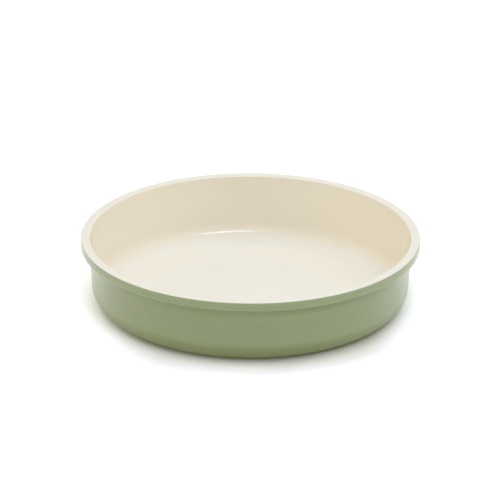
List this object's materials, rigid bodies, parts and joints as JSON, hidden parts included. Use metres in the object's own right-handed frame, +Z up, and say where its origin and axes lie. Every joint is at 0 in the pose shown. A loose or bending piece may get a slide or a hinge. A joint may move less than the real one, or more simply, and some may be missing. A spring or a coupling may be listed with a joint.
{
  "type": "round cake tin",
  "caption": "Shallow round cake tin of pressed sheet steel with a flat turned-down rim, a cream non-stick lining and a satin green outer coat.",
  "frame": {"origin": "centre of the flat base, on the surface the tin stands on", "axes": "+Z up along the tin's axis of revolution; +X and +Y lie in the base, and the tin looks the same from every side"},
  "size_m": [0.2464, 0.2464, 0.0508],
  "materials": {
    "pressed_steel": "satin",
    "cream_lining": "satin",
    "green_coat": "satin"
  },
  "bodies": {
    "root": {"steel_pan": "pressed_steel", "interior_coating": "cream_lining", "exterior_coating": "green_coat"}
  },
  "joints": []
}
